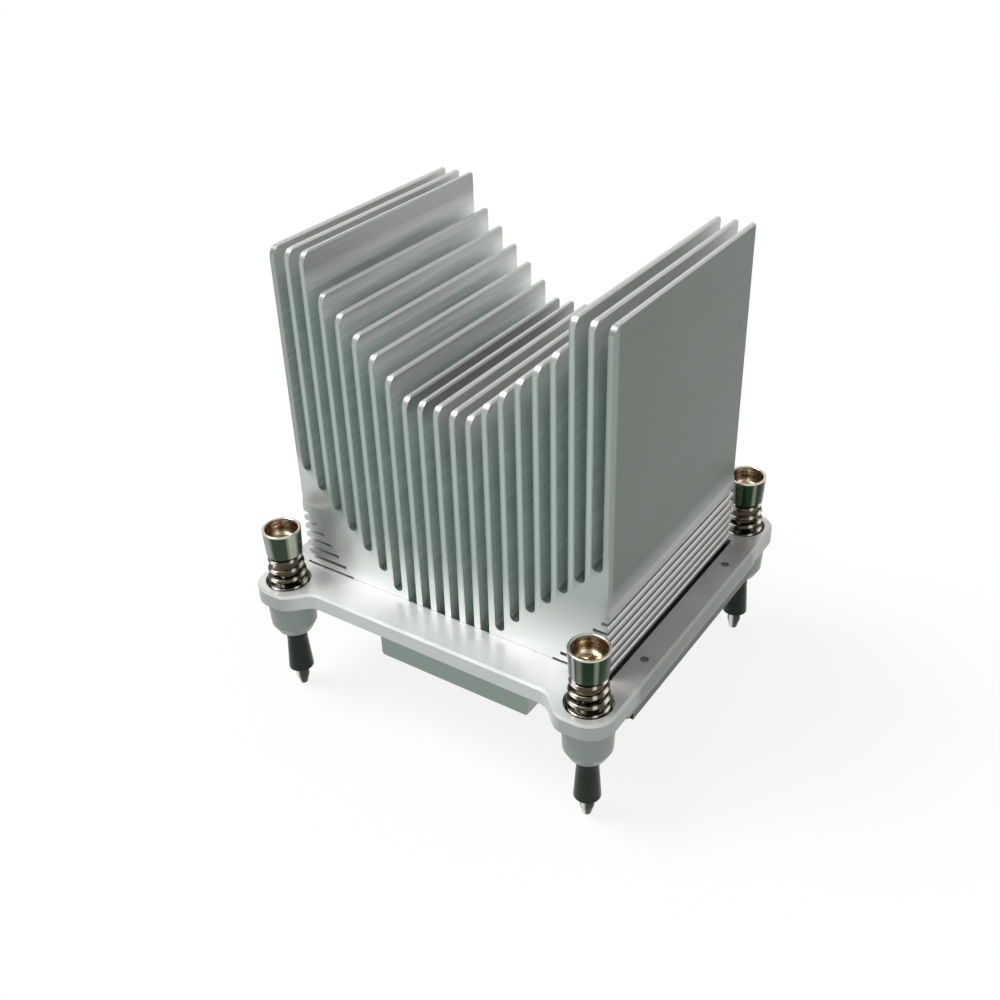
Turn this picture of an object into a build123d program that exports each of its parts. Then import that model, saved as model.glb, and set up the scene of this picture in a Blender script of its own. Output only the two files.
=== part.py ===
from build123d import *
from math import atan, degrees
import os

# Passive heatsink for a server processor. An extruded aluminium block with 21 fins stands in a
# die-cast frame, and four captive spring screws hold the frame to the board.
# Millimetres, +Z up. The origin is the centre of the face that presses on the processor.

# Fin block: fins are counted outwards from the middle fin, which is number 0
fins_each_side = 10
tall_fins = 3                # outer fins of full height on each side
level_fins = 2               # low fins of equal height on each side of the middle fin
fin_pitch = 3.66
fin_tip = 1.2                # thickness of a fin at the top of the tall ones
fin_root = 1.5               # thickness at the lowest channel floor
low_fin_top = 66.7
fin_top_step = 3.44
tall_fin_top = 91.3
low_channel_floor = 12.3
channel_floor_step = 3.78
fin_corner_radius = 2.4      # at the front end of each fin's top
fin_break = 0.3              # chamfer along both top edges of a fin
block_length = 55.4

# Keel and core under the fins
keel_width = 38.2
keel_height = 11.7
keel_chamfer = 0.5
core_run = 0.82              # how far the core widens for each millimetre of height

# Side ribs, and the flange that the frame carries
rib_slots = 7
rib_pitch = 2.175
slot_height = 0.85
slot_drop = 0.05             # the lowest slot's centre is this far below the frame's top
slot_flare = 0.3
slot_inset = 0.8             # from the core's slanted underside out to a slot's blind end
rib_proud = 0.3              # the ribs stand this far out of the outer fin's face
shoulder_height = 2.2
shoulder_slope = 2.0
flange_thickness = 2.6
flange_inset = 0.9

# Frame
frame_top = 18.2
plate_thickness = 3.7
window_gap_x = 0.6
window_gap_y = 0.05
end_bar_width = 8.95
side_bar_width = 5.7
side_bar_depth = 5.7
collar_width = 2.0
skirt_inset = 0.6
skirt_width = 1.8
skirt_depth = 7.5
skirt_end_gap = 0.2
ledge_width = 7.6
frame_edge = 0.5             # chamfer round the frame's top

# Ears of the frame, one round each screw
screw_to_block = 7.2         # from the block's end to a screw's axis
ear_reach_x = 6.3
ear_reach_y = 6.5
ear_corner_radius = 5.7
ear_flare_start = 8.3        # from a screw's axis in to where the end bar's edge starts to flare
ear_flare_radius = 4.0
boss_root_radius = 5.3       # the boss tapers from under the plate
boss_radius = 5.0
boss_foot_radius = 3.9
boss_foot_height = 2.1       # of the steeper taper into the foot
boss_length = 12.9
boss_skirt_radius = 5.9      # slope from the ear's underside into the boss
boss_skirt = 0.9
pocket_radius = 4.92
pocket_depth = 1.6
web_thickness = 2.0
bore_radius = 3.05

# Shallow round marks on the side bars
mark_from_end = 9.1          # from the block's end in to a mark, and to a fixing screw's axis
mark_inset = 3.2             # from the frame's side edge
mark_radius = 0.9
mark_depth = 0.4

# Captive screw
screw_travel = 3.6
head_radius = 4.15
head_foot_radius = 3.85
head_height = 6.0
head_clearance = 7.2         # from the frame's top up to the head
cup_radius = 3.35
cup_depth = 3.6
cup_lead = 0.35
hub_radius = 2.5
neck_radius = 2.0            # passes through the web of the boss
neck_gap = 0.1
shank_radius = 1.5
tip_length = 5.2             # what shows below the sleeve
tip_cone = 2.4
tip_radius = 0.85
waist_radius = 1.25          # the shank is waisted inside the sleeve
drive_width = 1.0
drive_length = 4.4
drive_depth = 1.6

# Conical spring round each screw, its wire drawn with few flats to keep it light
spring_turns = 4.25
spring_wire = 1.1
spring_flat_count = 4
spring_foot_radius = 3.95    # to the middle of the wire
spring_top_radius = 3.15

# Flared sleeve that keeps each screw in its boss
sleeve_length = 11.1         # below the boss
sleeve_radius = 2.3
sleeve_flare_radius = 2.8
sleeve_flare_length = 7.5
collar_height = 1.5
slide_gap = 0.1
spin_gap = 0.06
end_play = 0.05

# Low-headed screws that hold the block down on the frame's ledges
fixing_edge = 3.3            # from the block's widest side to the screw's axis
fixing_radius = 1.5
fixing_head_radius = 2.6
fixing_head_height = 1.1
fixing_sink = 0.1
fixing_short = 0.25
fixing_gap = 0.1
fixing_socket = 2.0          # across the flats
fixing_socket_depth = 0.7

same_place = 0.01            # points closer than this count as one

# Derived places
half_length = block_length / 2
fin_face = fins_each_side * fin_pitch + fin_tip / 2
rib_face = fin_face + rib_proud
above_fins = tall_fin_top + fin_pitch
first_slot = frame_top - slot_drop
flange_top = first_slot - slot_height / 2
flange_bottom = flange_top - flange_thickness
flange_face = rib_face - flange_inset
window_x = rib_face + window_gap_x
window_y = half_length + window_gap_y
side_edge = window_x + side_bar_width
bar_edge = window_y + end_bar_width
screw_x = side_edge - ear_reach_x
screw_y = half_length + screw_to_block
ear_edge = screw_y + ear_reach_y
plate_bottom = frame_top - plate_thickness
side_bar_bottom = frame_top - side_bar_depth
skirt_face = side_edge - skirt_inset
ledge_bottom = side_bar_bottom
pocket_floor = frame_top - pocket_depth
web_bottom = pocket_floor - web_thickness
boss_bottom = frame_top - boss_length
head_bottom = frame_top + head_clearance
rim = head_bottom + head_height
cup_floor = rim - cup_depth
sleeve_bottom = boss_bottom - sleeve_length
tip_end = sleeve_bottom - tip_length
fixing_x = rib_face - fixing_edge
fixing_y = half_length - mark_from_end

corners = [(-1, -1), (1, -1), (1, 1), (-1, 1)]
corner_names = ["front_left", "front_right", "rear_right", "rear_left"]


def fin_top(n):
    """Top of fin n."""
    if n > fins_each_side - tall_fins:
        return tall_fin_top
    return low_fin_top + fin_top_step * max(0, n - level_fins)


def channel_floor(n):
    """Floor of the channel between fins n and n + 1."""
    return low_channel_floor + channel_floor_step * max(0, n - level_fins + 1)


def core_face(z):
    """Where the core's slanted underside is at height z."""
    return keel_width / 2 + core_run * (z - keel_height)


def box_between(x0, x1, y0, y1, z0, z1):
    """Upright box from its lowest to its highest corner."""
    middle = Pos((x0 + x1) / 2, (y0 + y1) / 2, (z0 + z1) / 2)
    return middle * Box(x1 - x0, y1 - y0, z1 - z0)


def block_outline():
    """Right half of the block's section, before channels and slots are taken out."""
    top_rib = first_slot + (rib_slots - 1) * rib_pitch
    shoulder = top_rib + shoulder_height
    return make_face(Polyline(
        (0, 0),
        (keel_width / 2 - keel_chamfer, 0),
        (keel_width / 2, keel_chamfer),
        (keel_width / 2, keel_height),
        (core_face(flange_bottom), flange_bottom),
        (flange_face, flange_bottom),
        (flange_face, first_slot),
        (rib_face, first_slot),
        (rib_face, shoulder),
        (fin_face, shoulder + shoulder_slope),
        (fin_face, tall_fin_top),
        (0, tall_fin_top),
        close=True,
    ))


def half_gap(z):
    """Half the width of a channel at height z, where the fins taper evenly to their tops."""
    share = (z - low_channel_floor) / (tall_fin_top - low_channel_floor)
    return (fin_pitch - fin_root + share * (fin_root - fin_tip)) / 2


def channel(n):
    """Gap between fins n and n + 1, with a round floor, open at the top."""
    centre = (n + 0.5) * fin_pitch
    floor_radius = half_gap(channel_floor(n))
    low = channel_floor(n) + floor_radius
    sides = make_face(Polyline(
        (centre - floor_radius, low),
        (centre + floor_radius, low),
        (centre + half_gap(above_fins), above_fins),
        (centre - half_gap(above_fins), above_fins),
        close=True,
    ))
    return sides + Pos(centre, low) * Circle(floor_radius)


def space_above_fin(n):
    """What is cut away over fin n, which also breaks its top edges."""
    centre = n * fin_pitch
    top = fin_top(n)
    reach = fin_pitch / 2
    flat = reach - half_gap(top) - fin_break
    side = top - (reach - flat)
    return make_face(Polyline(
        (centre - reach, side),
        (centre - flat, top),
        (centre + flat, top),
        (centre + reach, side),
        (centre + reach, above_fins),
        (centre - reach, above_fins),
        close=True,
    ))


def fin_corner(n):
    """What is cut away to round the front end of fin n's top."""
    centre = n * fin_pitch
    top = fin_top(abs(n))
    reach = fin_pitch / 2
    radius = fin_corner_radius
    block = box_between(centre - reach, centre + reach, -half_length, radius - half_length,
                        top - radius, top)
    return block - Pos(centre, radius - half_length, top - radius) * Rot(0, 90, 0) * Cylinder(
        radius, fin_pitch)


def side_slot(n):
    """Slot between two side ribs, as deep as the core allows and flared at its mouth."""
    z = first_slot + n * rib_pitch
    blind_end = core_face(z) + slot_inset
    half = slot_height / 2
    return make_face(Polyline(
        (blind_end, z - half),
        (rib_face - slot_flare, z - half),
        (rib_face + slot_flare, z - half - 2 * slot_flare),
        (rib_face + slot_flare, z + half + 2 * slot_flare),
        (rib_face - slot_flare, z + half),
        (blind_end, z + half),
        close=True,
    ))


def fin_block():
    """The extrusion: keel, core, fins and side ribs in one piece."""
    half = block_outline()
    half -= [channel(n) for n in range(fins_each_side)]
    half -= [space_above_fin(n) for n in range(fins_each_side + 1)]
    half -= [side_slot(n) for n in range(rib_slots)]
    section = half + mirror(half, about=Plane.YZ)
    block = extrude(Plane.XZ * section, amount=half_length, both=True)
    block -= [fin_corner(n) for n in range(-fins_each_side, fins_each_side + 1)]
    height = flange_thickness
    for side, end in corners:
        hole = Cylinder(fixing_radius, height)
        block -= Pos(side * fixing_x, end * fixing_y, flange_bottom + height / 2) * hole
    return block


def frame_outline():
    """The frame seen from above: bars between four ears that bulge round the screws."""
    flare_in = screw_x - ear_flare_start
    flare_out = flare_in + ear_edge - bar_edge
    outline = Rectangle(2 * side_edge, 2 * ear_edge)
    notch = make_face(Polyline(
        (-flare_in, bar_edge),
        (flare_in, bar_edge),
        (flare_out, ear_edge),
        (-flare_out, ear_edge),
        close=True,
    ))
    outline -= [notch, mirror(notch, about=Plane.XZ)]
    outline = fillet(outline.vertices().filter_by(lambda v: abs(v.X) > screw_x), ear_corner_radius)
    between = outline.vertices().filter_by(lambda v: abs(v.X) <= flare_out + same_place)
    return fillet(between, ear_flare_radius)


def frame_plate():
    """Flat top of the frame, with its outer top edge broken."""
    plate = extrude(Pos(0, 0, plate_bottom) * frame_outline(), amount=plate_thickness)
    top_edges = plate.faces().sort_by(Axis.Z)[-1].edges()
    return chamfer(top_edges, frame_edge)


def screw_boss():
    """Tapered post under an ear, which guides the screw's sleeve."""
    section = make_face(Polyline(
        (0, plate_bottom),
        (boss_skirt_radius, plate_bottom),
        (boss_root_radius, plate_bottom - boss_skirt),
        (boss_radius, boss_bottom + boss_foot_height),
        (boss_foot_radius, boss_bottom),
        (0, boss_bottom),
        close=True,
    ))
    return revolve(Plane.XZ * section, Axis.Z)


def screw_bores():
    """Spring pocket, clearance hole through the web, and the wider bore for the sleeve."""
    pocket = Pos(0, 0, pocket_floor + pocket_depth) * Cylinder(pocket_radius, 2 * pocket_depth)
    shaft = Pos(0, 0, web_bottom + web_thickness / 2) * Cylinder(neck_radius + neck_gap, web_thickness)
    bore = Pos(0, 0, (web_bottom + boss_bottom) / 2) * Cylinder(bore_radius, web_bottom - boss_bottom)
    return pocket + shaft + bore


def side_bar():
    """Right side bar: deep bar, inward ledge for the block's flange, and outer skirt."""
    reach = window_y - skirt_end_gap
    bar = box_between(window_x, skirt_face, -window_y, window_y, side_bar_bottom, plate_bottom)
    ledge = box_between(window_x - ledge_width, window_x, -reach, reach, ledge_bottom, flange_bottom)
    skirt = box_between(skirt_face - skirt_width, skirt_face, -reach, reach,
                        frame_top - skirt_depth, side_bar_bottom)
    return bar + ledge + skirt


def end_collar():
    """Stiffening rib under the inner edge of an end bar, from side bar to side bar."""
    return box_between(-skirt_face, skirt_face, window_y, window_y + collar_width,
                       side_bar_bottom, plate_bottom)


def fixing_hole():
    """Counterbored hole in a ledge, open below."""
    seat = fixing_sink + fixing_head_height
    mouth = Pos(0, 0, ledge_bottom + seat / 2) * Cylinder(fixing_head_radius + fixing_gap, seat)
    length = flange_bottom - ledge_bottom
    return mouth + Pos(0, 0, ledge_bottom + length / 2) * Cylinder(fixing_radius + fixing_gap, length)


def mounting_frame():
    """The die-cast frame round the block."""
    frame = frame_plate()
    frame -= Pos(0, 0, plate_bottom) * Box(2 * window_x, 2 * window_y, 3 * plate_thickness)
    for half in (side_bar(), end_collar()):
        frame += half
        frame += Rot(0, 0, 180) * half
    for side, end in corners:
        frame += Pos(side * screw_x, end * screw_y, 0) * screw_boss()
    for side, end in corners:
        frame -= Pos(side * screw_x, end * screw_y, 0) * screw_bores()
        frame -= Pos(side * fixing_x, end * fixing_y, 0) * fixing_hole()
        frame -= Pos(side * (side_edge - mark_inset), end * fixing_y,
                     frame_top) * Cylinder(mark_radius, 2 * mark_depth)
    return frame


def cross_recess():
    """Cross-shaped driver recess, open at height 0."""
    cross = Rectangle(drive_width, drive_length) + Rectangle(drive_length, drive_width)
    return extrude(cross, amount=-drive_depth)


def captive_screw():
    """Turned screw with a cup-shaped head, a hub inside the spring and a waisted shank."""
    hub_bottom = pocket_floor + screw_travel
    section = make_face(Polyline(
        (0, cup_floor),
        (cup_radius, cup_floor),
        (cup_radius, rim - cup_lead),
        (cup_radius + cup_lead, rim),
        (head_radius, rim),
        (head_foot_radius, head_bottom),
        (hub_radius, head_bottom),
        (hub_radius, hub_bottom),
        (neck_radius, hub_bottom),
        (neck_radius, web_bottom + end_play),
        (waist_radius, web_bottom + end_play),
        (waist_radius, sleeve_bottom - end_play),
        (shank_radius, sleeve_bottom - end_play),
        (shank_radius, tip_end + tip_cone),
        (tip_radius, tip_end),
        (0, tip_end),
        close=True,
    ))
    screw = revolve(Plane.XZ * section, Axis.Z)
    return screw - Pos(0, 0, cup_floor) * cross_recess()


def screw_spring():
    """Coil spring between the frame's pocket and the screw's head, its ends ground flat."""
    height = head_bottom - pocket_floor
    pitch = height / spring_turns
    taper = degrees(atan((spring_foot_radius - spring_top_radius) / height))
    path = Helix(pitch, height, spring_foot_radius, cone_angle=-taper)
    wire = Plane(origin=path @ 0, z_dir=path % 0) * RegularPolygon(spring_wire / 2, spring_flat_count)
    coil = sweep(wire, path=path, is_frenet=True)
    ground = Pos(0, 0, height / 2) * Cylinder(2 * spring_foot_radius, height)
    return Pos(0, 0, pocket_floor) * (coil & ground)


def retaining_sleeve():
    """Flared sleeve on the screw's waist. Its collar stops under the web of the boss."""
    collar_bottom = web_bottom - collar_height
    collar_radius = bore_radius - slide_gap
    inner = waist_radius + spin_gap
    section = make_face(Polyline(
        (inner, web_bottom),
        (collar_radius, web_bottom),
        (collar_radius, collar_bottom),
        (sleeve_radius, collar_bottom),
        (sleeve_radius, sleeve_bottom + sleeve_flare_length),
        (sleeve_flare_radius, sleeve_bottom),
        (inner, sleeve_bottom),
        close=True,
    ))
    return revolve(Plane.XZ * section, Axis.Z)


def fixing_screw():
    """Low-headed socket screw, driven from below."""
    bottom = ledge_bottom + fixing_sink
    top = flange_top - fixing_short
    section = make_face(Polyline(
        (0, bottom),
        (fixing_head_radius, bottom),
        (fixing_head_radius, bottom + fixing_head_height),
        (fixing_radius, bottom + fixing_head_height),
        (fixing_radius, top),
        (0, top),
        close=True,
    ))
    screw = revolve(Plane.XZ * section, Axis.Z)
    socket = RegularPolygon(fixing_socket / 2, 6, major_radius=False)
    return screw - extrude(Pos(0, 0, bottom) * socket, amount=fixing_socket_depth)


def save(shape, name):
    """Write one piece to its own file."""
    export_step(shape, os.path.join("parts", name + ".step"))


os.makedirs("parts", exist_ok=True)
save(fin_block(), "heatsink_fin_block")
save(mounting_frame(), "mounting_frame")
screw = captive_screw()
spring = screw_spring()
sleeve = retaining_sleeve()
fixing = fixing_screw()
for name, (side, end) in zip(corner_names, corners):
    at_screw = Pos(side * screw_x, end * screw_y, 0)
    save(at_screw * screw, "captive_screw_" + name)
    save(at_screw * spring, "screw_spring_" + name)
    save(at_screw * sleeve, "retaining_sleeve_" + name)
    save(Pos(side * fixing_x, end * fixing_y, 0) * fixing, "frame_fixing_screw_" + name)
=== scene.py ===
from math import cos, pi, radians, sin

import bpy
from mathutils import Matrix, Vector

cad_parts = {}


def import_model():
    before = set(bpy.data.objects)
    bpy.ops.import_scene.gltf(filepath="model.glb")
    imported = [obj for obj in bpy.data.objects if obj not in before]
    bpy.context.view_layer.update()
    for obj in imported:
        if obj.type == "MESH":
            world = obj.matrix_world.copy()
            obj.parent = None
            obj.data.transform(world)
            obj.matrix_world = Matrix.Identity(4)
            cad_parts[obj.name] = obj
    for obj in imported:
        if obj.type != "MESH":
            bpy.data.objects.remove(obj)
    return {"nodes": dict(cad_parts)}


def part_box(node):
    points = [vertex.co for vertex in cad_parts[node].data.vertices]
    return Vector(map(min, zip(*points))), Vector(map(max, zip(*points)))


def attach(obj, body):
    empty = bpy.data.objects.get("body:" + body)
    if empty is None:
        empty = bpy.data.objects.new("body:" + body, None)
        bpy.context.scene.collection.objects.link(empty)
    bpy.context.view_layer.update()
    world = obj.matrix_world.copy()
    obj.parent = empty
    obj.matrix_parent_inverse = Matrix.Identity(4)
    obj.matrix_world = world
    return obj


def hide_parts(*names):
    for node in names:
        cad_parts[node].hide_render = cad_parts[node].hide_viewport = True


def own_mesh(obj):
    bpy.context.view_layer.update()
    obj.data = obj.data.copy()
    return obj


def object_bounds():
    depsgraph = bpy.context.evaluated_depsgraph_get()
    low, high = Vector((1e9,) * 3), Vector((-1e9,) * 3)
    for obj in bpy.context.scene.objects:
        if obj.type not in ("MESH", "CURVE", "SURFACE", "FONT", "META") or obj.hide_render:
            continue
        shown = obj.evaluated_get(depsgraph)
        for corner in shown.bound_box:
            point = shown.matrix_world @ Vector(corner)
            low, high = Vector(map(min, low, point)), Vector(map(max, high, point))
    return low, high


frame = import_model()
cad_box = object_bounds()

# Lengths are in millimetres in the row frame, and are turned into metres where they are used
MM = 0.001
RELIEF = 0.03                # depth of the grain on the block and the frame
FINE_RELIEF = 0.02
ROOT = "block_and_frame"

# Fin block: heights over its contact face, and half widths from its middle
FIN_PITCH = 3.66
LOW_TOP = 66.7               # tops of the low fins in the middle
LOW_HALF = 7.3               # half width over the low fins
STEP_TOP = 87.4              # top of the highest stepped fin
STEP_HALF = 29.3             # and over the stepped ones
TALL_TOP = 91.3              # tops of the outermost fins
ARCS_FROM = 60.0             # the fins' rounded front corners all lie above this
OUTER_FROM = 35.0            # the outermost fins lie outside this
PLATE_FACE = 37.05           # and their outer faces outside this
PLATE_FOOT = 35.4            # where they run out into the shoulder over the top rib
# the outer faces' paler front strip is painted light
FRONT_STRIP = -26.6          # they are paler in front of this
RIB_FACE = 37.4              # the ribs' faces lie outside this
KEEL_TOP = 11.7
FLOOR_START = 5.5            # the channels' floors follow a slanting line from here
FLOOR_LOW = 10.8
FLOOR_SLOPE = 1.033

# Frame
FRAME_TOP = 18.2
FRAME_BOTTOM = 14.5
EAR_ALONG = 29.0             # the side bars have ended and the ears begun this far from the middle

# Captive screw, from its rim down and from its tip up
RIM = 31.4
HEAD_HEIGHT = 6.0
HEAD_FOOT = 3.85
CUP_DEPTH = 3.6
CUP_FLOOR = RIM - CUP_DEPTH
CUP_RADIUS = 3.35
CUP_ROUNDING = 1.6
CUP_LEAD = 0.35
RIM_BREAK = 0.12             # height and width that are taken off the rim's edge
RIM_BREAK_WIDTH = 0.15
RIM_FOOT = 0.3               # the wall's finish begins this far below the rim
EDGE_RADIUS = 0.2
HUB = 2.5
HUB_LENGTH = 5.2
NECK = 2.0
NECK_LENGTH = 5.55
WAIST = 1.25
SHANK = 1.5
TIP_LENGTH = 5.15
TIP_CONE = 2.4
TIP_END = 0.85
DRIVE_WIDTH = 1.0
DRIVE_LENGTH = 4.4
DRIVE_DEPTH = 1.6
WALL_SLOT, CUP_SLOT, RIM_SLOT, TIP_SLOT, HUB_SLOT = range(5)

# Spring round each screw
COILS = 4.7
WIRE = 1.1
SPRING_FOOT = 3.95
SPRING_TOP = 3.15

# Finishes of the screws and springs, with a painted reflection. Bright plating shows a room, and
# that
# room is painted into its colour: dark, with pale upright stripes, given as (azimuth, width,
# level), that differ on the left and the right screws.
WALL_DARK = {"left": (0.036, 0.062, 0.034), "right": (0.017, 0.036, 0.016)}
WALL_PALE = (0.48, 0.51, 0.42)
CUP_DARK = (0.26, 0.19, 0.115)
CUP_PALE = (0.90, 0.82, 0.69)
RIM_TONE = (0.66, 0.58, 0.49)
# painted light: the hub is a mostly matt brown, which lifts the shade between the spring's turns
HUB_TONE = (0.34, 0.28, 0.21)
TIP_DARK = (0.05, 0.05, 0.045)
TIP_PALE = (0.80, 0.78, 0.72)
WIRE_DARK = (0.075, 0.065, 0.04)
WIRE_PALE = (0.96, 0.90, 0.80)
WALL_STRIPES = {
    "left": ((-8, 20, 0.6), (76, 24, 1.0), (-60, 30, 0.4), (180, 40, 0.4)),
    "right": ((-18, 9, 0.8), (2, 12, 0.3), (49, 9, 0.4), (108, 12, 0.6), (180, 50, 0.4)),
}
CUP_STRIPES = {
    "left": ((26, 15, 0.9), (70, 15, 0.9), (-154, 15, 0.9), (-112, 15, 0.9), (-40, 30, 0.4),
             (130, 30, 0.4)),
    "right": ((10, 15, 0.9), (53, 15, 0.9), (-131, 15, 0.9), (-174, 15, 0.9), (-60, 30, 0.4),
              (115, 30, 0.4)),
}
WIRE_STRIPES = {
    "left": ((-4, 18, 1.0), (66, 9, 0.6), (104, 18, 1.0), (-120, 50, 0.5)),
    "right": ((-20, 18, 1.0), (47, 9, 0.6), (88, 16, 0.9), (180, 50, 0.5)),
}
TIP_STRIPES = ((-8, 30, 0.9),)


# Small helpers

def middle(node):
    """Centre of a node's box."""
    low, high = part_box(node)
    return (low + high) / 2


def towards(azimuth, elevation):
    """Direction out to an angle. Azimuth is measured from the viewer's side (-Y) towards +X."""
    a = radians(azimuth)
    e = radians(elevation)
    return Vector((sin(a) * cos(e), -cos(a) * cos(e), sin(e)))


def add_object(name, data):
    """Put a mesh, lamp or camera into the scene."""
    piece = bpy.data.objects.new(name, data)
    bpy.context.scene.collection.objects.link(piece)
    return piece


def smooth_mesh(name, verts, faces, materials, face_slots=None):
    """Mesh object from points in metres, smooth shaded."""
    mesh = bpy.data.meshes.new(name)
    mesh.from_pydata(verts, [], faces)
    mesh.validate()
    for face in mesh.polygons:
        face.use_smooth = True
    for mat in materials:
        mesh.materials.append(mat)
    if face_slots:
        mesh.polygons.foreach_set("material_index", face_slots)
    return add_object(name, mesh)


def ring_point(place, radius, angle, height):
    """Point round an upright axis, in metres."""
    return (place.x + radius * MM * cos(angle), place.y + radius * MM * sin(angle), height * MM)


class Graph:
    """The nodes of a material or of the world, added and joined with short calls."""

    def __init__(self, owner, shader="Principled BSDF"):
        owner.use_nodes = True
        self.owner = owner
        self.tree = owner.node_tree
        self.shader = self.tree.nodes[shader]

    def put(self, socket, value):
        """Join an output to a socket, or set the socket's own value."""
        if isinstance(value, bpy.types.NodeSocket):
            self.tree.links.new(value, socket)
        else:
            socket.default_value = value

    def add(self, kind, inputs=None, **settings):
        """New node, with its settings and inputs."""
        node = self.tree.nodes.new(kind)
        for key, value in settings.items():
            setattr(node, key, value)
        for key, value in (inputs or {}).items():
            self.put(node.inputs[key], value)
        return node

    def set(self, **values):
        """Set or join the shader's inputs, named with _ for a space."""
        for key, value in values.items():
            self.put(self.shader.inputs[key.replace("_", " ")], value)

    def bump(self, height, strength, depth):
        """Small relief on the surface."""
        node = self.add("ShaderNodeBump", {"Height": height, "Strength": strength,
                                           "Distance": depth * MM})
        self.put(self.shader.inputs["Normal"], node.outputs[0])

    def calc(self, operation, a, b=0.0):
        """One step of arithmetic."""
        return self.add("ShaderNodeMath", {0: a, 1: b}, operation=operation).outputs[0]

    def times(self, first, *others):
        """Product of all values."""
        for other in others:
            first = self.calc("MULTIPLY", first, other)
        return first

    def inverse(self, share):
        """What is left of 1."""
        return self.calc("SUBTRACT", 1.0, share)

    def blend(self, factor, a, b):
        """Colour that goes from a to b as the factor goes from 0 to 1."""
        node = self.add("ShaderNodeMix", {0: factor}, data_type="RGBA")
        for key, colour in ((6, a), (7, b)):
            self.put(node.inputs[key], (*colour, 1) if isinstance(colour, tuple) else colour)
        return node.outputs[2]

    def between(self, value, low, high, to_low=0.0, to_high=1.0):
        """From to_low to to_high as the value goes from low to high, and no further."""
        node = self.add("ShaderNodeMapRange", {0: value, 1: low, 2: high, 3: to_low, 4: to_high})
        return node.outputs[0]

    def span(self, value, low, high, to_low=0.0, to_high=1.0):
        """The same for a place on the object, with low and high in millimetres."""
        return self.between(value, low * MM, high * MM, to_low, to_high)

    def noise(self, place, scale, detail=3.0, stretch=(1, 1, 1)):
        """Procedural noise, finer along an axis where its stretch is larger."""
        mapped = self.add("ShaderNodeMapping", {"Vector": place, "Scale": stretch}).outputs[0]
        node = self.add("ShaderNodeTexNoise", {"Vector": mapped, "Scale": scale, "Detail": detail})
        return node.outputs["Fac"]

    def places(self):
        """Object coordinates, their parts, and the parts of the object's normal."""
        where = self.add("ShaderNodeTexCoord").outputs
        point = self.add("ShaderNodeSeparateXYZ", {0: where["Object"]}).outputs
        normal = self.add("ShaderNodeSeparateXYZ", {0: where["Normal"]}).outputs
        return where["Object"], point, normal

    def seen(self):
        """1 for a ray from the camera, in a reflection or through glass, and otherwise 0."""
        path = self.add("ShaderNodeLightPath").outputs
        either = self.calc("MAXIMUM", path["Is Camera Ray"], path["Is Glossy Ray"])
        return self.calc("MAXIMUM", either, path["Is Transmission Ray"])


def new_material(name):
    """Nodes of a new material."""
    return Graph(bpy.data.materials.new(name))


# Materials

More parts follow.
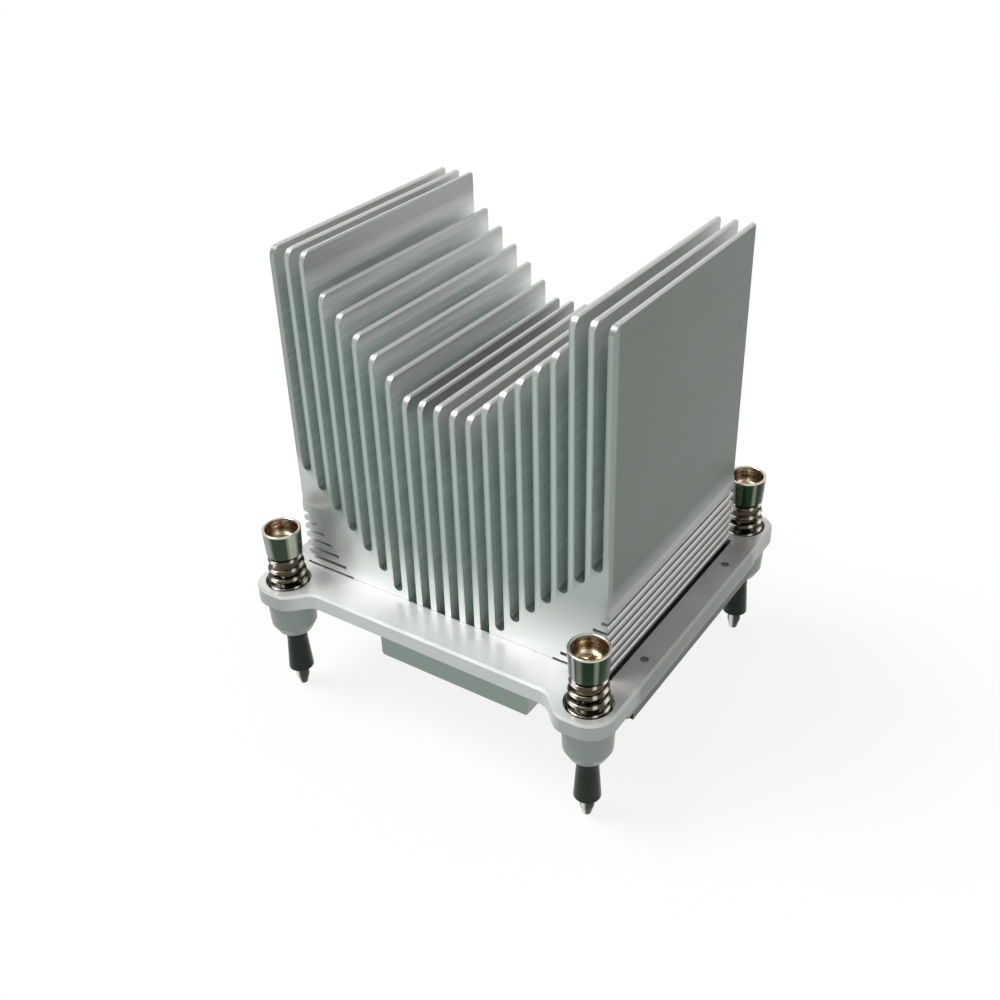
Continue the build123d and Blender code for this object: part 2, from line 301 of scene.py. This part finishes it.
def channel_tone(g, point, normal, across, under_floors, lines, grain):
    """The block between its outer plates: walls, tops and floors, and the grooves' insides, toned
    with painted light and shade.
    """
    # little light gets down between the fins, so their walls are painted paler below the notch's
    # outline, as painted light
    slope = g.span(across, LOW_HALF, STEP_HALF, LOW_TOP * MM, STEP_TOP * MM)
    rise = (TALL_TOP - STEP_TOP) * MM
    cliff = g.span(across, STEP_HALF - 0.2, STEP_HALF + 0.2, 0.0, rise)
    depth = g.calc("SUBTRACT", g.calc("ADD", slope, cliff), point[2])
    near = g.span(depth, -1.2, 3.2)
    deep = g.span(depth, 2.0, 6.5)
    # painted shade: the walls of the middle channels are darker
    centre = g.span(across, 11.0, 8.0)
    # painted light: walls that face the lamp are paler
    sunny_side = g.between(normal[0], -0.3, -0.6)
    open_tone = g.blend(lines, (0.35, 0.365, 0.35), (0.44, 0.455, 0.44))
    open_tone = g.blend(centre, open_tone, (0.27, 0.275, 0.27))
    near_tone = g.blend(lines, (0.76, 0.78, 0.76), (0.92, 0.94, 0.92))
    near_tone = g.blend(centre, near_tone, (0.39, 0.40, 0.39))
    near_tone = g.blend(sunny_side, near_tone, (0.94, 0.95, 0.94))
    deep_tone = g.blend(lines, (0.61, 0.69, 0.655), (0.77, 0.85, 0.81))
    deep_tone = g.blend(sunny_side, deep_tone, (0.78, 0.87, 0.83))
    # painted shade on the upward faces deep in the channels
    floor_shade = g.times(g.between(normal[2], 0.2, 0.7), deep)
    deep_tone = g.blend(floor_shade, deep_tone, (0.26, 0.30, 0.28))
    tone = g.blend(deep, g.blend(near, open_tone, near_tone), deep_tone)
    # painted shade: a wall with a taller or an equal neighbour opposite is painted greyer for
    # longer
    outward = g.times(g.calc("SIGN", point[0]), normal[0])
    faced = g.calc("MAXIMUM", g.between(outward, 0.3, 0.6),
                   g.span(across, STEP_HALF + 0.2, STEP_HALF + 0.6))
    faced = g.times(faced, g.between(normal[0], -0.6, -0.3))
    faced_shade_tone = g.blend(g.between(outward, -0.3, 0.3), (0.58, 0.57, 0.57), (0.52, 0.51, 0.51))
    faced_shade_tone = g.blend(g.times(lines, 0.3), faced_shade_tone, (0.80, 0.80, 0.79))
    faced_shade_tone = g.blend(g.span(depth, 1.0, 14.0), faced_shade_tone, deep_tone)
    tone = g.blend(faced, tone, faced_shade_tone)
    # grooves in the block's sides lie below the line of the channels' floors: their insides get
    # painted shade, and their upward ledges painted light
    lit_ledge_tone = g.blend(grain, (0.68, 0.68, 0.67), (0.78, 0.78, 0.77))
    shaded_groove_tone = g.blend(grain, (0.36, 0.37, 0.36), (0.44, 0.45, 0.44))
    shaded_groove_tone = g.blend(g.between(normal[2], 0.4, 0.65), shaded_groove_tone, lit_ledge_tone)
    tone = g.blend(g.span(under_floors, 0.0, 0.6), tone, shaded_groove_tone)
    # the fins' flat tops get a paler tone, as painted light where they catch the light
    fin_top = g.times(g.between(normal[2], 0.85, 0.97),
                      g.span(point[2], LOW_TOP - 1.2, LOW_TOP - 0.7))
    top_tone = g.blend(grain, (0.53, 0.535, 0.53), (0.61, 0.615, 0.605))
    return g.blend(fin_top, tone, top_tone)


def plate_tone(g, point, rib, lines, clouds):
    """The outermost fins' brushed outer faces, painted dark as painted shade, and the faces of the
    ribs under them, painted paler as painted light.
    """
    tone = g.blend(lines, (0.108, 0.130, 0.112), (0.202, 0.228, 0.203))
    tone = g.blend(g.between(clouds, 0.4, 0.7, 0.0, 0.35), tone, (0.185, 0.205, 0.185))
    # painted light: paler in front of the front strip's line
    strip_tone = g.blend(lines, (0.235, 0.275, 0.24), (0.325, 0.36, 0.325))
    tone = g.blend(g.span(point[1], -25.6, FRONT_STRIP), tone, strip_tone)
    # painted light where the faces run out into the shoulder over the top rib
    foot = g.span(point[2], PLATE_FOOT + 2.8, PLATE_FOOT - 0.8, 0.0, 0.8)
    tone = g.blend(foot, tone, (0.36, 0.37, 0.36))
    # painted light: the ribs' faces are paler than the plate's
    rib_tone = g.blend(clouds, (0.41, 0.415, 0.405), (0.48, 0.485, 0.475))
    return g.blend(rib, tone, rib_tone)


def end_tone(g, point, outermost, under_floors, grain):
    """The block's milled front and back: painted paler downwards, with a painted highlight as a
    bright flat along each fin.
    """
    # painted highlight: a bright flat along each fin, dimmer on the outermost fins
    off_middle = g.calc("PINGPONG", point[0], FIN_PITCH * MM / 2)
    flat_tone = g.blend(outermost, (0.47, 0.55, 0.515), (0.36, 0.42, 0.39))
    high_tone = g.blend(g.span(off_middle, 0.2, 0.65), flat_tone, (0.25, 0.31, 0.285))
    core_tone = g.blend(grain, (0.39, 0.45, 0.42), (0.45, 0.51, 0.48))
    # painted light: the core's face is paler towards the lamp on the left
    core_tone = g.blend(g.span(point[0], -5.0, -28.0), core_tone, (0.60, 0.64, 0.62))
    high_tone = g.blend(g.span(under_floors, -3.5, -0.5), high_tone, core_tone)
    # painted light: paler downwards, below a line that slants across the face, and painted shade:
    # darker again on the keel, below the frame's bottom
    low_tone = g.blend(grain, (0.82, 0.845, 0.835), (0.93, 0.95, 0.94))
    keel_tone = g.blend(grain, (0.25, 0.32, 0.29), (0.29, 0.36, 0.33))
    slanted = g.calc("SUBTRACT", point[2], g.times(point[0], 0.04))
    tone = g.blend(g.span(slanted, 34.0, 18.5), high_tone, low_tone)
    return g.blend(g.span(point[2], FRAME_BOTTOM, KEEL_TOP), tone, keel_tone)


def extruded_aluminium():
    """Bare extrusion: drawing lines along Y, milled ends, and brushed outer plates, with painted
    light and shade.
    """
    g = new_material("extruded_aluminium")
    place, point, normal = g.places()
    across = g.calc("ABSOLUTE", point[0])
    end = g.between(g.calc("ABSOLUTE", normal[1]), 0.55, 0.8)
    side = g.between(g.calc("ABSOLUTE", normal[0]), 0.7, 0.95)
    plate = g.times(side, g.span(across, PLATE_FACE - 0.15, PLATE_FACE))
    rib = g.times(side, g.span(across, RIB_FACE - 0.1, RIB_FACE))
    outermost = g.span(across, OUTER_FROM, OUTER_FROM + 0.4)
    fine = g.noise(place, 1.0, 4.0, (3600, 40, 3600))
    streaks = g.noise(place, 1.0, 3.0, (1200, 45, 1200))
    lines = g.between(g.calc("ADD", g.times(fine, 0.5), g.times(streaks, 0.5)), 0.36, 0.64)
    clouds = g.noise(place, 70, 2.0)
    grain = g.noise(place, 2600, 2.0)
    floors = g.times(g.calc("SUBTRACT", across, FLOOR_START * MM), FLOOR_SLOPE)
    floors = g.calc("ADD", floors, FLOOR_LOW * MM)
    under_floors = g.calc("SUBTRACT", floors, point[2])

    tone = channel_tone(g, point, normal, across, under_floors, lines, grain)
    tone = g.blend(plate, tone, plate_tone(g, point, rib, lines, clouds))
    tone = g.blend(end, tone, end_tone(g, point, outermost, under_floors, grain))
    # the fins' rounded front corners get their own tone, a painted highlight, dimmer on the
    # outermost of them
    arc = g.times(g.between(normal[1], -0.25, -0.40), g.between(normal[2], 0.25, 0.40),
                  g.span(point[2], ARCS_FROM, ARCS_FROM + 2.0))
    arc_tone = g.blend(outermost, (0.40, 0.42, 0.41), (0.25, 0.265, 0.26))
    tone = g.blend(arc, tone, arc_tone)
    # painted shade: the gap between the lowest rib and the frame is painted near black
    gap = g.times(g.span(point[2], FRAME_TOP + 0.6, FRAME_TOP + 0.3),
                  g.span(across, OUTER_FROM, OUTER_FROM + 0.5), g.inverse(end))
    tone = g.blend(gap, tone, (0.015, 0.017, 0.015))

    rough_side = g.between(lines, 0.3, 0.7, 0.34, 0.48)
    rough_end = g.span(point[2], 14.0, 45.0, 0.16, 0.34)
    rough = g.add("ShaderNodeMix", {0: end, 2: rough_side, 3: rough_end}).outputs[0]
    g.set(Base_Color=tone, Metallic=g.between(end, 0.0, 1.0, 0.6, 0.5), Roughness=rough)
    g.bump(g.calc("ADD", g.times(lines, g.inverse(end)), g.times(grain, 0.25)), 0.3, RELIEF)
    return g.owner


def cast_frame():
    """Plated casting: pale, satin, with a fine grain and faint clouds, toned with painted light and
    shade. Its small pits are painted dark, as painted shade.
    """
    g = new_material("cast_frame")
    place, point, normal = g.places()
    grain = g.noise(place, 1800, 3.0)
    clouds = g.noise(place, 120, 3.0)
    across = g.calc("ABSOLUTE", point[0])
    along = g.calc("ABSOLUTE", point[1])
    up = g.between(normal[2], 0.5, 0.9)
    sideways = g.between(g.calc("ABSOLUTE", normal[0]), 0.5, 0.68)
    beside = g.span(along, EAR_ALONG, EAR_ALONG - 3.5)
    side_bar = g.times(g.span(across, 36.8, 37.4), beside)
    ear = g.times(g.span(across, 31.0, 35.0), g.span(along, EAR_ALONG - 3.5, EAR_ALONG))
    # painted light and shadow on the tops: the end bars' tops palest, the ears' darker, the side
    # bars' darkest
    end_top = g.blend(clouds, (0.83, 0.83, 0.83), (0.93, 0.93, 0.93))
    ear_top = g.blend(clouds, (0.70, 0.70, 0.695), (0.80, 0.80, 0.795))
    side_top = g.blend(clouds, (0.54, 0.54, 0.53), (0.65, 0.65, 0.64))
    top_tone = g.blend(side_bar, g.blend(ear, end_top, ear_top), side_top)
    # painted shade on the walls: the end walls palest, the ears' walls darker, the side bars' walls
    # darkest
    end_wall = g.blend(clouds, (0.54, 0.585, 0.565), (0.64, 0.68, 0.66))
    ear_wall = g.blend(clouds, (0.34, 0.38, 0.36), (0.44, 0.48, 0.46))
    side_wall = g.blend(clouds, (0.17, 0.18, 0.175), (0.23, 0.24, 0.23))
    wall_tone = g.blend(g.times(sideways, beside), g.blend(ear, end_wall, ear_wall), side_wall)
    # painted shade: the bosses under the ears are darker
    boss_tone = g.blend(clouds, (0.215, 0.255, 0.23), (0.29, 0.33, 0.305))
    boss = g.span(point[2], FRAME_BOTTOM + 0.3, FRAME_BOTTOM - 0.5)
    tone = g.blend(up, g.blend(boss, wall_tone, boss_tone), top_tone)
    # painted shade: the skirts under the side bars are painted near black
    skirt = g.times(g.span(point[2], 12.8, 12.4), g.span(along, EAR_ALONG, EAR_ALONG - 1.0),
                    g.span(across, 40.0, 40.5))
    tone = g.blend(skirt, tone, (0.04, 0.045, 0.04))
    # painted shade: the small pits' floors are darker
    pit = g.times(g.span(point[2], FRAME_TOP - 0.05, FRAME_TOP - 0.2), g.span(across, 42.4, 42.2),
                  g.span(across, 38.8, 39.0), g.span(along, 28.0, 27.5))
    tone = g.blend(pit, tone, (0.24, 0.245, 0.24))
    g.set(Base_Color=tone, Metallic=0.45, Roughness=g.between(clouds, 0.3, 0.7, 0.26, 0.38))
    g.bump(grain, 0.25, RELIEF)
    return g.owner


def painted_reflection(g, stripes, axis=None):
    """Painted reflection: brightness round an upright axis, from (azimuth, width, level) of each
    pale stripe.

    Azimuth is the way that a surface faces or, where an axis is given, the way out from it.
    """
    if axis is None:
        facing = g.add("ShaderNodeNewGeometry").outputs["Normal"]
        part = g.add("ShaderNodeSeparateXYZ", {0: facing}).outputs
        right = part[0]
        forward = g.times(part[1], -1.0)
    else:
        point = g.places()[1]
        right = g.calc("SUBTRACT", point[0], axis.x)
        forward = g.calc("SUBTRACT", axis.y, point[1])
    azimuth = g.times(g.calc("ARCTAN2", right, forward), 180 / pi)
    level = 0.0
    for at, width, strength in stripes:
        off = g.calc("ABSOLUTE", g.calc("SUBTRACT", azimuth, at))
        level = g.calc("MAXIMUM", g.between(off, 0.3 * width, width, strength, 0.0), level)
    return level


def nickel(name, dark, pale, rough, stripes, axis=None):
    """Bright plating, dark with pale upright stripes of a painted reflection of a room, and fine
    turning lines.
    """
    g = new_material(name)
    place = g.places()[0]
    turned = g.noise(place, 1.0, 2.0, (60, 60, 6000))
    wear = g.noise(place, 500, 2.0)
    tone = g.blend(painted_reflection(g, stripes, axis), dark, pale)
    tone = g.blend(g.times(wear, 0.3), tone, tuple(0.8 * c for c in dark))
    g.set(Base_Color=tone, Metallic=1.0, Roughness=g.between(turned, 0.3, 0.7, rough, rough + 0.06))
    g.bump(turned, 0.08, FINE_RELIEF)
    return g.owner


def polished_cup(name, stripes):
    """Warm bright inside of a screw's head, with a painted reflection: painted shade under its rim,
    and a duller floor and recess, toned to dim the floor's glint and to lift the recess's shade.
    """
    g = new_material(name)
    place, point, _ = g.places()
    height = point[2]
    wear = g.noise(place, 700, 2.0)
    # pale bands of the painted reflection, faded out near the rim
    level = g.times(painted_reflection(g, stripes), g.span(height, RIM - 0.1, RIM - 0.7))
    # painted shade under the rim, a floor toned down to dim its glint, and a paler, less metallic
    # recess as painted light in its shade
    rim_shade_tone = (0.12, 0.085, 0.07)
    dimmed_floor_tone = (0.42, 0.33, 0.20)
    lit_recess_tone = (0.50, 0.39, 0.24)
    tone = g.blend(level, CUP_DARK, CUP_PALE)
    tone = g.blend(g.span(height, RIM - 0.8, RIM - 0.2), tone, rim_shade_tone)
    tone = g.blend(g.span(height, CUP_FLOOR + 0.3, CUP_FLOOR + 0.1), tone, dimmed_floor_tone)
    tone = g.blend(g.span(height, CUP_FLOOR - 0.1, CUP_FLOOR - 0.3), tone, lit_recess_tone)
    g.set(Base_Color=tone, Metallic=g.span(height, CUP_FLOOR + 0.1, CUP_FLOOR - 0.2, 1.0, 0.1),
          Roughness=g.between(wear, 0.3, 0.7, 0.16, 0.24))
    return g.owner


def plain_nickel(name, tone, rough, metal=1.0):
    """Bright plating of one tone, for rims and small faces."""
    g = new_material(name)
    wear = g.noise(g.places()[0], 900, 2.0)
    g.set(Base_Color=g.blend(wear, tone, tuple(0.85 * c for c in tone)), Metallic=metal,
          Roughness=g.between(wear, 0.3, 0.7, rough, rough + 0.05))
    return g.owner


def black_sleeve():
    """Black oxide with a green cast and a soft sheen."""
    g = new_material("black_sleeve")
    grain = g.noise(g.places()[0], 2500, 2.0)
    tone = g.blend(grain, (0.003, 0.015, 0.006), (0.006, 0.022, 0.010))
    g.set(Base_Color=tone, Metallic=0.0, Roughness=g.between(grain, 0.3, 0.7, 0.22, 0.32),
          Specular_IOR_Level=0.22)
    g.bump(grain, 0.15, FINE_RELIEF)
    return g.owner


def fixing_steel():
    """Zinc-plated steel of the hidden fixing screws."""
    g = new_material("fixing_steel")
    grain = g.noise(g.places()[0], 1500, 3.0)
    tone = g.blend(grain, (0.48, 0.48, 0.47), (0.60, 0.60, 0.58))
    g.set(Base_Color=tone, Metallic=1.0, Roughness=g.between(grain, 0.3, 0.7, 0.25, 0.4))
    g.bump(grain, 0.15, FINE_RELIEF)
    return g.owner


def dress(node, material):
    """Give a CAD node its material."""
    for slot in frame["nodes"][node].material_slots:
        slot.material = material


# Pieces that replace plain solids

def lathe(name, profile, place, materials, row_slots, steps=96):
    """Turned piece from (radius, height) in mm. The profile's ends lie on the axis."""
    verts = [(place.x, place.y, profile[0][1] * MM)]
    faces = []
    slots = []
    rings = profile[1:-1]
    for radius, height in rings:
        for i in range(steps):
            verts.append(ring_point(place, radius, 2 * pi * i / steps, height))
    verts.append((place.x, place.y, profile[-1][1] * MM))
    last = 1 + (len(rings) - 1) * steps
    for i in range(steps):
        j = (i + 1) % steps
        faces.append((0, 1 + i, 1 + j))
        slots.append(row_slots[0])
        for row in range(len(rings) - 1):
            a = 1 + row * steps
            b = a + steps
            faces.append((a + i, b + i, b + j, a + j))
            slots.append(row_slots[row + 1])
        faces.append((len(verts) - 1, last + j, last + i))
        slots.append(row_slots[-1])
    return smooth_mesh(name, verts, faces, materials, slots)


def rounded(corners, radius, steps=4):
    """Profile through the corners, each turned into a short arc of about this radius."""
    runs_per_arc = 2.2           # an arc takes less than half of the run on either side
    points = [corners[0]]
    for before, corner, after in zip(corners, corners[1:], corners[2:]):
        corner = Vector(corner)
        back = Vector(before) - corner
        on = Vector(after) - corner
        reach = min(radius, back.length / runs_per_arc, on.length / runs_per_arc)
        start = corner + back.normalized() * reach
        stop = corner + on.normalized() * reach
        for i in range(steps + 1):
            t = i / steps
            points.append(tuple(start * (1 - t) ** 2 + corner * (2 * t * (1 - t)) + stop * t * t))
    points.append(corners[-1])
    return points


def coil(name, place, material, low, high, steps=48, sides=14):
    """Closed-end coil spring that narrows upwards: its first and last turns lie nearly flat."""
    flat_turns = 0.75
    dead_rise = 0.3 * WIRE
    count = int(COILS * steps)
    rise = high - low - WIRE

    def climb(turn):
        if turn < flat_turns:
            return dead_rise * turn / flat_turns
        if turn > COILS - flat_turns:
            return rise - dead_rise * (COILS - turn) / flat_turns
        share = (turn - flat_turns) / (COILS - 2 * flat_turns)
        return dead_rise + share * (rise - 2 * dead_rise)

    verts = []
    faces = []
    for i in range(count + 1):
        turn = COILS * i / count
        height = climb(turn)
        mean = SPRING_FOOT + (SPRING_TOP - SPRING_FOOT) * height / rise
        for k in range(sides):
            round_wire = 2 * pi * k / sides
            verts.append(ring_point(place, mean + WIRE / 2 * cos(round_wire), 2 * pi * turn,
                                    low + WIRE / 2 + height + WIRE / 2 * sin(round_wire)))
    for i in range(count):
        for k in range(sides):
            m = (k + 1) % sides
            faces.append((i * sides + k, (i + 1) * sides + k, (i + 1) * sides + m, i * sides + m))
    faces.append(tuple(range(sides)))
    faces.append(tuple(reversed(range(count * sides, (count + 1) * sides))))
    return smooth_mesh(name, verts, faces, [material])


def cut_cross(piece, place, floor):
    """Cross-shaped driver recess in the floor of the cup, with the cup's finish."""
    for width, length in ((DRIVE_WIDTH, DRIVE_LENGTH), (DRIVE_LENGTH, DRIVE_WIDTH)):
        bpy.ops.mesh.primitive_cube_add(size=1, location=(place.x, place.y, floor * MM))
        cutter = bpy.context.object
        cutter.scale = (width * MM, length * MM, 2 * DRIVE_DEPTH * MM)
        for mat in piece.data.materials:
            cutter.data.materials.append(mat)
        cutter.data.polygons.foreach_set("material_index", [CUP_SLOT] * 6)
        cut = piece.modifiers.new("recess", "BOOLEAN")
        cut.object = cutter
        cut.solver = "EXACT"
        bpy.context.view_layer.update()
        shape = piece.evaluated_get(bpy.context.evaluated_depsgraph_get())
        mesh = bpy.data.meshes.new_from_object(shape)
        piece.modifiers.clear()
        piece.data = mesh
        bpy.data.objects.remove(cutter)


def captive_screw(corner, wall, cup, rim, tip, hub):
    """Screw with rounded edges, a polished cup and a tapered tip, in the solid's place."""
    node = "captive_screw_" + corner
    place = middle(node)
    low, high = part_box(node)
    top = high.z / MM
    bottom = low.z / MM
    head = (high.x - low.x) / 2 / MM
    head_bottom = top - HEAD_HEIGHT
    cup_floor = top - CUP_DEPTH
    hub_bottom = head_bottom - HUB_LENGTH
    inner = rounded([
        (0.0, cup_floor),
        (CUP_RADIUS, cup_floor),
        (CUP_RADIUS, top - CUP_LEAD),
    ], CUP_ROUNDING, 8)
    edge = [
        (CUP_RADIUS + 0.6 * CUP_LEAD, top - RIM_BREAK),
        (CUP_RADIUS + CUP_LEAD, top),
        (head - RIM_BREAK_WIDTH, top),
        (head, top - RIM_BREAK),
        (head - 0.01, top - RIM_FOOT),
    ]
    outer = rounded([
        edge[-1],
        (HEAD_FOOT, head_bottom),
        (HUB, head_bottom),
        (HUB, hub_bottom),
        (NECK, hub_bottom),
        (NECK, hub_bottom - NECK_LENGTH),
        (WAIST, hub_bottom - NECK_LENGTH),
        (WAIST, bottom + TIP_LENGTH),
        (SHANK, bottom + TIP_LENGTH),
        (SHANK, bottom + TIP_CONE),
        (TIP_END, bottom),
        (0.0, bottom),
    ], EDGE_RADIUS)[1:]
    slots = [CUP_SLOT] * len(inner) + [RIM_SLOT] * (len(edge) - 1)
    for _, height in outer:
        if height > head_bottom - EDGE_RADIUS / 2:
            slots.append(WALL_SLOT)
        elif height > hub_bottom - EDGE_RADIUS / 2:
            slots.append(HUB_SLOT)
        else:
            slots.append(TIP_SLOT)
    piece = lathe("screw_detail_" + corner, inner + edge + outer, place,
                  [wall, cup, rim, tip, hub], slots)
    cut_cross(piece, place, cup_floor)
    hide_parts(node)
    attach(piece, "screw_" + corner)


def screw_spring(corner, material):
    """Round-wire spring in the solid's place, attached to the block and frame."""
    node = "screw_spring_" + corner
    place = middle("captive_screw_" + corner)
    low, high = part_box(node)
    piece = coil("spring_detail_" + corner, place, material, low.z / MM, high.z / MM)
    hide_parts(node)
    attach(piece, ROOT)
    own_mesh(piece)


dress("heatsink_fin_block", extruded_aluminium())
dress("mounting_frame", cast_frame())
rim_finish = plain_nickel("nickel_rim", RIM_TONE, rough=0.12)
# painted light: the hub is a mostly matt brown, which lifts the shade between the spring's turns
hub_finish_and_light = plain_nickel("nickel_hub", HUB_TONE, rough=0.35, metal=0.2)
# the tip, wall, cup and spring wire finishes carry a painted reflection of a room
tip_finish_and_reflection = nickel("nickel_tip", TIP_DARK, TIP_PALE, 0.14, TIP_STRIPES)
sleeve_finish = black_sleeve()
fixing_finish = fixing_steel()
for side in ("left", "right"):
    wall_finish_and_reflection = nickel("nickel_wall_" + side, WALL_DARK[side], WALL_PALE, 0.17,
                         WALL_STRIPES[side])
    cup_finish_and_reflection = polished_cup("nickel_cup_" + side, CUP_STRIPES[side])
    for end in ("front_", "rear_"):
        corner = end + side
        wire_finish_and_reflection = nickel("spring_wire_" + corner, WIRE_DARK, WIRE_PALE, 0.16,
                             WIRE_STRIPES[side], axis=middle("captive_screw_" + corner))
        dress("retaining_sleeve_" + corner, sleeve_finish)
        dress("frame_fixing_screw_" + corner, fixing_finish)
        captive_screw(corner, wall_finish_and_reflection, cup_finish_and_reflection, rim_finish, tip_finish_and_reflection, hub_finish_and_light)
        screw_spring(corner, wire_finish_and_reflection)


# Floor, world and lamps

def floor_material(darkest):
    """White floor that keeps the object's shadow, and throws back little light from below."""
    g = new_material("floor")
    seen = g.seen()
    matt = g.blend(g.noise(g.places()[0], 3.0), (0.48, 0.49, 0.48), (0.52, 0.53, 0.52))
    g.set(Base_Color=g.blend(seen, matt, (1.0, 1.0, 1.0)), Roughness=0.9, Specular_IOR_Level=0.0)
    glow = g.add("ShaderNodeEmission", {"Color": (1, 1, 1, 1), "Strength": 1.0})
    mixed = g.add("ShaderNodeMixShader", {0: g.times(seen, darkest), 1: g.shader.outputs[0],
                                          2: glow.outputs[0]})
    g.put(g.tree.nodes["Material Output"].inputs[0], mixed.outputs[0])
    return g.owner


def studio_floor(rim, steps=64):
    """Large round floor under the screws' tips, its rim in metres from the middle."""
    verts = []
    for i in range(steps):
        angle = 2 * pi * i / steps
        verts.append((rim * cos(angle), rim * sin(angle), cad_box[0][2]))
    piece = smooth_mesh("floor", verts, [tuple(range(steps))], [floor_material(darkest=0.85)])


def world(ambient, white):
    """White to the camera and in reflections, and a plain soft light on matt surfaces."""
    scene_world = bpy.data.worlds.new("studio")
    bpy.context.scene.world = scene_world
    g = Graph(scene_world, "Background")
    g.set(Color=(1, 1, 1, 1), Strength=g.between(g.seen(), 0.0, 1.0, ambient, white))


def sun(name, azimuth, elevation, strength, spread):
    """Soft distant lamp."""
    lamp = bpy.data.lights.new(name, "SUN")
    lamp.energy = strength
    lamp.angle = radians(spread)
    piece = add_object(name, lamp)
    piece.location = towards(azimuth, elevation)
    piece.rotation_euler = piece.location.to_track_quat("Z", "Y").to_euler()


def camera(location, azimuth, elevation, roll, lens):
    """Camera at the photograph's place, found from the object's straight edges."""
    data = bpy.data.cameras.new("camera")
    data.lens = lens
    data.sensor_width = 36
    data.clip_start = 0.01
    data.clip_end = 50
    back = towards(azimuth, elevation)
    right = (-back).cross(Vector((0, 0, 1))).normalized()
    up = right.cross(-back)
    r = radians(roll)
    rolled_right = right * cos(r) + up * sin(r)
    rolled_up = up * cos(r) - right * sin(r)
    turn = Matrix((rolled_right, rolled_up, back)).transposed().to_4x4()
    piece = add_object("camera", data)
    piece.matrix_world = Matrix.Translation(Vector(location) * MM) @ turn
    bpy.context.scene.camera = piece


studio_floor(rim=6.0)
world(ambient=0.42, white=1.0)
sun("key", azimuth=-62, elevation=60, strength=2.1, spread=30)
camera(location=(120.78, -182.30, 170.92), azimuth=34.65, elevation=32.48, roll=-1.93, lens=43.156)
bpy.context.scene.view_settings.view_transform = "Standard"
